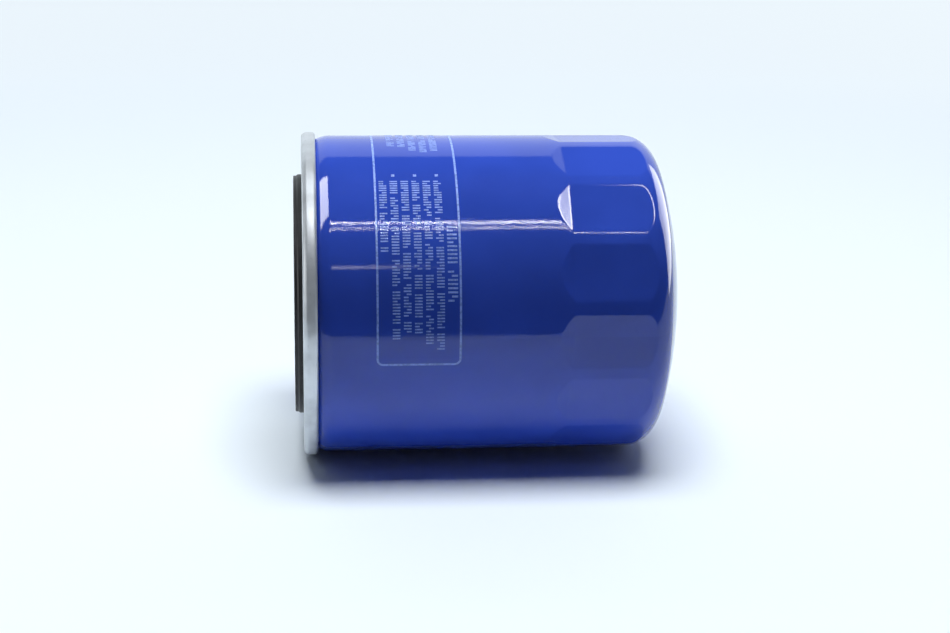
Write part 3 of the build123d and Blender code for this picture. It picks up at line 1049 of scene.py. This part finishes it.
def make_paper(sizes):
    """The pleated paper, with soft folds, and the clip that joins its two ends."""
    count, half = 48, 0.25 * MM
    outer, inner = 34.6 * MM, 16.9 * MM
    fold, steps = 0.35 * MM, 5
    step = 2 * math.pi / count
    chance = random.Random(3)
    lean = [chance.uniform(-1, 1) for _ in range(2 * count)]

    def outline(side, s):
        points = []
        for k in range(count):
            for tip, radius, turn, way in ((0, outer, k * step, 1), (1, inner, (k + 0.5) * step, -1)):
                sway = 0.02 * lean[2 * k + tip] * math.sin(s / (9 * MM) + lean[2 * k + tip] * 7) * step
                bow = fold + side * way * half
                centre = radius - way * bow + side * half
                if k == 0 and tip == 0:
                    sway = 0.0
                for i in range(steps + 1):
                    around = math.pi * i / steps - math.pi / 2
                    out = centre + way * bow * math.cos(around)
                    across = bow * math.sin(around) / radius
                    points.append((out, turn + sway + across))
        return [(r * math.cos(a), r * math.sin(a)) for r, a in points]

    start, end, rows = 18.82 * MM, 83.18 * MM, 30
    stations = [start + (end - start) * i / rows for i in range(rows + 1)]
    vertices, faces = [], []
    size = 2 * (steps + 1) * count
    for s in stations:
        for side in (1, -1):
            vertices += [(SEAL_X + s, y, z) for y, z in outline(side, s)]
    for row in range(rows):
        for i in range(size):
            j = (i + 1) % size
            a, b = row * 2 * size, (row + 1) * 2 * size
            faces.append([a + i, a + j, b + j, b + i])
            faces.append([b + size + i, b + size + j, a + size + j, a + size + i])
    for row in (0, rows):
        a = row * 2 * size
        for i in range(size):
            j = (i + 1) % size
            quad = [a + i, a + size + i, a + size + j, a + j]
            faces.append(quad if row == 0 else list(reversed(quad)))
    paper = resin_paper("filter_paper_amber", tuple(sizes.paper_colour))
    new_piece(
        "paper_pleats", vertices, outward(vertices, faces), paper,
        "element", ["pleated_media"], sharp=50.0,
    )

    wall, width, top = 0.3, 0.72, 34.9
    channel = [(32.3, width + 0.15), (32.45, width), (top, width)]
    channel += [(r, -across) for r, across in reversed(channel)]
    line = rounded(in_mm(channel), [0.1 * MM, 0.25 * MM, 0.25 * MM, 0.1 * MM], steps=5)
    profile = [(p.x, p.y) for p in sheet_section(line, wall * MM)]
    vertices, faces = prism(profile, 19.0 * MM, 83.0 * MM)
    steel = plated("clip_tinplate", tuple(sizes.cap_colour), rough=0.28, turned=0.2)
    new_piece("paper_seam_clip", vertices, faces, steel, "element", ["media_seam_clip"])


def coil_points(start, end, first, last, turns, dead):
    """The centre line of a coil spring whose end coils lie flat."""
    points = []
    steps = int(turns * 40)
    for i in range(steps + 1):
        t = i / steps
        turn = t * turns
        free = max(0.0, min(1.0, (turn - dead) / (turns - 2 * dead)))
        rise = free * free * (3 - 2 * free) * 0.35 + free * 0.65
        s = start + (end - start) * rise
        r = first + (last - first) * free
        points.append((SEAL_X + s, r * math.cos(2 * math.pi * turn), r * math.sin(2 * math.pi * turn)))
    return points


def coil_piece(name, node, steel, coil, radius, sides):
    """A coil spring, not yet on a body."""
    vertices, faces = wire(coil_points(*coil), radius, sides)
    return new_piece(name, vertices, faces, steel, None, [node])


def make_relief_valve(sizes):
    """The relief valve: crimped seat plate, rubber seal, windowed cage, poppet and spring."""
    steel = plated("relief_zinc", (0.60, 0.58, 0.50), rough=0.28, turned=0.5)
    dark = pressed_steel("poppet_steel", (0.36, 0.35, 0.34), oil=0.3)
    rubber = moulded_rubber("relief_rubber", (0.02, 0.018, 0.016), dust=0.2)
    seat = rounded_loop(
        [(85.5, 6.0), (85.5, 13.6), (85.0, 13.6), (85.0, 14.3), (86.3, 14.3), (86.3, 6.0)],
        (0.2, 0.1, 0.15, 0.2, 0.6, 0.3),
    )
    turned_piece("relief_seat", seat, steel, "element", ["relief_seat_plate"], 160)
    seal = rounded_loop([(84.5, 6.2), (84.5, 8.8), (85.5, 8.8), (85.5, 6.2)], 0.2)
    turned_piece("relief_seal_washer", seal, rubber, "element", ["relief_seal"], 128)
    line = rounded(
        in_mm([(72.3, 2.2), (72.3, 9.65), (85.25, 9.65), (85.25, 13.2)]), [0.8 * MM, 0.6 * MM], steps=8
    )
    section = sheet_section(line, 0.5 * MM)
    cage = turned_piece(
        "relief_cage_windowed", section, steel, "element", ["relief_cage"], 160
    )
    middle = 77.65 * MM
    window = [(along * 3.0, around * 3.5) for along, around in ((-1, -1), (1, -1), (1, 1), (-1, 1))]
    outline = [(p.x, p.y) for p in rounded_loop(window, 1.5)]
    holes = []
    for k in range(4):
        angle = math.pi / 2 * k
        out = Vector((0, math.cos(angle), math.sin(angle)))
        side = Vector((0, -math.sin(angle), math.cos(angle)))
        points = []
        for reach in (7.5 * MM, 11.0 * MM):
            for along, around in outline:
                points.append(tuple(Vector((SEAL_X + middle + along, 0, 0)) + out * reach + side * around))
        sides = bar_faces(2, len(outline))
        holes.append((points, outward([Vector(p) - Vector(points[0]) for p in points], sides)))
    carve(cage, holes)
    poppet = [
        (84.45, 0.0), (84.45, 8.2), (83.25, 8.2), (83.25, 4.2), (82.45, 3.6),
        (82.45, 1.9), (69.3, 1.9), (69.05, 1.4), (69.05, 0.0),
    ]
    bends = (0.25, 0.25, 0.2, 0.2, 0.15, 0.1, 0.1)
    section = rounded(in_mm(poppet), [b * MM for b in bends])
    section[0].y = section[-1].y = 0.0
    vertices, faces = revolved([(p.x, p.y) for p in section], 128, False)
    new_piece(
        "relief_poppet_disc", vertices, outward(vertices, faces), dark,
        "relief_poppet", ["relief_poppet"],
    )
    wire_steel = spring_wire("relief_wire", tuple(sizes.wire_colour))
    coil = (73.12 * MM, 82.68 * MM, 5 * MM, 5 * MM, 7.0, 0.9)
    spring = coil_piece("relief_coil", "relief_spring", wire_steel, coil, 0.5 * MM, 14)
    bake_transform(spring)


def make_hold_down_spring(sizes):
    """The tapered spring between the element and the dome."""
    steel = spring_wire("hold_down_wire", tuple(sizes.wire_colour))
    coil = (87.25 * MM, 96.25 * MM, 11.5 * MM, 15.5 * MM, 4.6, 0.85)
    spring = coil_piece("hold_down_coil", "hold_down_spring", steel, coil, 0.9 * MM, 18)
    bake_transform(spring)


# The stage


def sweep_piece(name, line, half_width, material):
    """A sheet that follows a line of (y, z) points, as wide as asked."""
    vertices = []
    for y, z in line:
        vertices += [(-half_width, y, z), (half_width, y, z)]
    faces = [[2 * i, 2 * i + 1, 2 * i + 3, 2 * i + 2] for i in range(len(line) - 1)]
    mesh = bpy.data.meshes.new(name)
    mesh.from_pydata(vertices, [], faces)
    mesh.materials.append(material)
    mesh.shade_smooth()
    piece = bpy.data.objects.new(name, mesh)
    bpy.context.scene.collection.objects.link(piece)
    return piece


def area_light(name, place, target, size, power, colour=(1, 1, 1), glossy=True, diffuse=True):
    """A rectangular light at a place, turned towards a target."""
    data = bpy.data.lights.new(name, "AREA")
    data.shape = "RECTANGLE"
    data.size, data.size_y = size
    data.energy = power
    data.color = colour
    light = bpy.data.objects.new(name, data)
    light.location = place
    way = Vector(target) - Vector(place)
    light.rotation_mode = "QUATERNION"
    light.rotation_quaternion = way.to_track_quat("-Z", "X")
    light.visible_glossy = glossy
    light.visible_diffuse = diffuse
    light.visible_camera = False
    bpy.context.scene.collection.objects.link(light)
    return light


def make_backdrop(sizes):
    """The floor and the backdrop in one sweep of paper, which fades to a pale haze far away."""
    paper = Finish("stage_paper")
    point = paper.place()
    x, y, z = paper.axes(point)
    far = ((x * x + y * y + z * z) ** 0.5).step(0.30, 0.85)
    tooth = paper.grain(point, 900, detail=2.0)
    sheet = paper.blend(scaled(sizes.floor_colour, 0.995), tuple(sizes.floor_colour), tooth)
    white = paper.surface(
        Base_Color=paper.blend(sheet, (0, 0, 0), far),
        Emission_Color=paper.blend((0, 0, 0), HAZE, far),
        Emission_Strength=1.0,
        Roughness=0.9,
        Specular_IOR_Level=0.1,
    )
    front, back, rise, top, half_width = -0.200, 0.55, 0.25, 0.94, 2.2
    curve = [(back + y, FLOOR_Z + z) for y, z in arc((0, rise), rise, -90, 0, 24)]
    sweep_piece("stage_sweep", [(front, FLOOR_Z)] + curve + [(back + rise, top)], half_width, white)
    beyond = sweep_piece("stage_floor_beyond", [(-2.5, FLOOR_Z), (front, FLOOR_Z)], half_width, white)
    seen_only(beyond)


def make_room():
    """A pale shell far round the stage, so that every view has a pale background."""
    room = Finish("stage_room_pale")
    haze = room.grain(room.place(), 2, detail=1.0)
    room.surface(
        Base_Color=(0, 0, 0),
        Specular_IOR_Level=0.0,
        Emission_Color=room.blend(scaled(HAZE, 0.995), HAZE, haze),
        Emission_Strength=1.0,
    )
    radius, rings = 4.0, 13
    angles = [math.pi / 24 * i - 0.3 for i in range(rings)]
    shell = [(radius * math.sin(a) - SEAL_X, radius * math.cos(a)) for a in angles]
    vertices, faces = revolved(shell, 48, False)
    mesh = bpy.data.meshes.new("stage_room")
    mesh.from_pydata([(y, z, x) for x, y, z in vertices], [], faces)
    mesh.materials.append(room.material)
    around = bpy.data.objects.new("stage_room", mesh)
    bpy.context.scene.collection.objects.link(around)
    seen_only(around)


def seen_only(piece):
    """Makes a stage piece show to the camera and nowhere else."""
    piece.visible_glossy = False
    piece.visible_diffuse = False
    piece.visible_shadow = False


def up(degrees, distance, x=0.045):
    """A place in front of the filter, at an angle above the floor."""
    a = math.radians(degrees)
    return (x, -distance * math.cos(a), distance * math.sin(a))


def make_lights(sizes):
    """Soft light from above, and the panels and tubes that show in the paint and the zinc."""
    world = bpy.data.worlds.new("room")
    bpy.context.scene.world = world
    world.use_nodes = True
    world.node_tree.nodes["Background"].inputs["Color"].default_value = (0.55, 0.65, 1.0, 1)
    world.node_tree.nodes["Background"].inputs["Strength"].default_value = 0.035

    painted = bpy.data.collections.new("painted")
    unpainted = bpy.data.collections.new("unpainted")
    for piece in bpy.context.scene.objects:
        if piece.type == "MESH":
            on_can = piece.name.startswith(("can_", "print_"))
            (painted if on_can else unpainted).objects.link(piece)

    sky, white = (0.93, 0.97, 1.0), (1, 1, 1)
    origin, tip, mouth = (0, 0, 0), (0.04, 0, 0), (0.06, 0, 0)
    soft = (
        ("overhead", up(79.5, 1.3), tip, (0.70, 0.8), sizes.key_power, sky, unpainted),
        ("crown", up(99, 1.2), tip, (0.5, 0.8), sizes.crown_power, white, painted),
    )
    for name, place, target, size, power, colour, lit in soft:
        light = area_light(name, place, target, size, power, colour, glossy=False)
        light.light_linking.receiver_collection = lit
    shine = (
        ("rim", up(92, 1.1), tip, (1.0, 1.2), 5.0, sky, unpainted),
        ("tube_high", up(66.0, 1.1, 0.12), (0.12, 0, 0), (0.005, 0.5), 1.02, white, None),
        ("tube_low", up(61.9, 1.1, 0.12), (0.12, 0, 0), (0.005, 0.5), 0.56, white, None),
        ("tube_far", up(33.9, 1.1, 0.0), origin, (0.010, 0.16), 0.07, white, None),
        ("panel_left", up(91, 1.1, -0.52), origin, (0.74, 0.80), 25.0, white, painted),
        ("panel_right", (0.42, -0.17, 1.02), mouth, (0.34, 0.09), 1.7, white, painted),
        ("panel_right_dim", (0.56, -0.15, 1.00), mouth, (0.34, 0.18), 1.7, white, painted),
        ("panel_side", (0.55, 0.25, 0.05), (0.09, 0, 0), (0.60, 0.40), 3.6, white, painted),
        ("card_left", (-0.45, -0.05, 0.10), origin, (0.28, 0.40), 0.9, white, unpainted),
    )
    for name, place, target, size, power, colour, lit in shine:
        light = area_light(name, place, target, size, power, colour, diffuse=False)
        if lit:
            light.light_linking.receiver_collection = lit


def place_camera(sizes):
    """The camera, turned about its line of sight."""
    camera = bpy.data.objects.new("camera", bpy.data.cameras.new("camera"))
    bpy.context.scene.collection.objects.link(camera)
    back_way = Vector((
        math.sin(sizes.azimuth) * math.cos(sizes.elevation),
        -math.cos(sizes.azimuth) * math.cos(sizes.elevation),
        math.sin(sizes.elevation),
    ))
    look = Vector((SEAL_X + 47.37 * MM, 0, -6.78 * MM))
    right = (-back_way).cross(Vector((0, 0, 1))).normalized()
    upward = right.cross(-back_way)
    turn = Matrix.Rotation(-sizes.roll, 3, -back_way)
    axes = Matrix((turn @ right, turn @ upward, back_way)).transposed()
    camera.matrix_world = Matrix.Translation(look + back_way * sizes.distance) @ axes.to_4x4()
    camera.data.sensor_width = 36
    camera.data.lens = sizes.lens
    camera.data.clip_start = 0.01
    bpy.context.scene.camera = camera
    bpy.context.scene.view_settings.view_transform = "Standard"


def make_stage(sizes):
    """A pale floor and backdrop, soft light from above, and the camera."""
    make_backdrop(sizes)
    make_room()
    make_lights(sizes)
    place_camera(sizes)


# Operators, in the order they run


class FILTER_OT_can(bpy.types.Operator):
    """Build the painted can, deep-drawn in one piece with a fluted end"""

    bl_idname = "oil_filter.can"
    bl_label = "Can"

    def execute(self, context):
        make_can(context.scene.filter_can)
        return {"FINISHED"}


class FILTER_OT_printing(bpy.types.Operator):
    """Lay the printed frame and its rows of plain strokes on the can"""

    bl_idname = "oil_filter.printing"
    bl_label = "Printing"

    def execute(self, context):
        make_print(context.scene.filter_print, context.scene.filter_can.radius)
        return {"FINISHED"}


class FILTER_OT_seam(bpy.types.Operator):
    """Build the seaming lid and the compound in its roll"""

    bl_idname = "oil_filter.seam"
    bl_label = "Rolled Seam"

    def execute(self, context):
        make_seam(context.scene.filter_end)
        return {"FINISHED"}


class FILTER_OT_gasket(bpy.types.Operator):
    """Build the moulded gasket"""

    bl_idname = "oil_filter.gasket"
    bl_label = "Gasket"

    def execute(self, context):
        make_gasket(context.scene.filter_end)
        return {"FINISHED"}


class FILTER_OT_base_plate(bpy.types.Operator):
    """Build the base plate with its stud thread and inlet holes"""

    bl_idname = "oil_filter.base_plate"
    bl_label = "Base Plate"

    def execute(self, context):
        make_base_plate(context.scene.filter_end)
        return {"FINISHED"}


class FILTER_OT_non_return_valve(bpy.types.Operator):
    """Build the rubber valve over the inlet holes"""

    bl_idname = "oil_filter.non_return_valve"
    bl_label = "Non-Return Valve"

    def execute(self, context):
        make_non_return_valve()
        return {"FINISHED"}


class FILTER_OT_end_caps(bpy.types.Operator):
    """Build the end caps and their potting"""

    bl_idname = "oil_filter.end_caps"
    bl_label = "End Caps"

    def execute(self, context):
        make_end_caps(context.scene.filter_element)
        return {"FINISHED"}


class FILTER_OT_centre_tube(bpy.types.Operator):
    """Build the perforated tube"""

    bl_idname = "oil_filter.centre_tube"
    bl_label = "Centre Tube"

    def execute(self, context):
        make_centre_tube()
        return {"FINISHED"}


class FILTER_OT_paper(bpy.types.Operator):
    """Build the pleated paper and its seam clip"""

    bl_idname = "oil_filter.paper"
    bl_label = "Pleated Paper"

    def execute(self, context):
        make_paper(context.scene.filter_element)
        return {"FINISHED"}


class FILTER_OT_relief_valve(bpy.types.Operator):
    """Build the relief valve and its spring"""

    bl_idname = "oil_filter.relief_valve"
    bl_label = "Relief Valve"

    def execute(self, context):
        make_relief_valve(context.scene.filter_element)
        return {"FINISHED"}


class FILTER_OT_hold_down_spring(bpy.types.Operator):
    """Build the spring that holds the element on its valve"""

    bl_idname = "oil_filter.hold_down_spring"
    bl_label = "Hold-Down Spring"

    def execute(self, context):
        make_hold_down_spring(context.scene.filter_element)
        return {"FINISHED"}


class FILTER_OT_stage(bpy.types.Operator):
    """Build the floor, the backdrop, the lights and the camera"""

    bl_idname = "oil_filter.stage"
    bl_label = "Stage"

    def execute(self, context):
        make_stage(context.scene.filter_stage)
        return {"FINISHED"}


class FILTER_PT_panel(bpy.types.Panel):
    """Lists the filter's pieces"""

    bl_idname = "FILTER_PT_panel"
    bl_label = "Oil Filter"
    bl_space_type = "VIEW_3D"
    bl_region_type = "UI"
    bl_category = "Oil Filter"

    def draw(self, context):
        for operator in PIECES:
            self.layout.operator(operator.bl_idname)


PIECES = (
    FILTER_OT_can,
    FILTER_OT_printing,
    FILTER_OT_seam,
    FILTER_OT_gasket,
    FILTER_OT_base_plate,
    FILTER_OT_non_return_valve,
    FILTER_OT_end_caps,
    FILTER_OT_centre_tube,
    FILTER_OT_paper,
    FILTER_OT_relief_valve,
    FILTER_OT_hold_down_spring,
    FILTER_OT_stage,
)
GROUPS = {
    "filter_can": CanSizes,
    "filter_print": PrintSizes,
    "filter_end": EndSizes,
    "filter_element": ElementSizes,
    "filter_stage": StageSizes,
}
CLASSES = (*GROUPS.values(), *PIECES, FILTER_PT_panel)


def register():
    for cls in CLASSES:
        bpy.utils.register_class(cls)
    for name, group in GROUPS.items():
        setattr(bpy.types.Scene, name, bpy.props.PointerProperty(type=group))


def unregister():
    for name in GROUPS:
        delattr(bpy.types.Scene, name)
    for cls in reversed(CLASSES):
        bpy.utils.unregister_class(cls)


def main():
    """Builds every piece in order."""
    register()
    for operator in PIECES:
        group, name = operator.bl_idname.split(".")
        getattr(getattr(bpy.ops, group), name)()


if __name__ == "__main__":
    main()
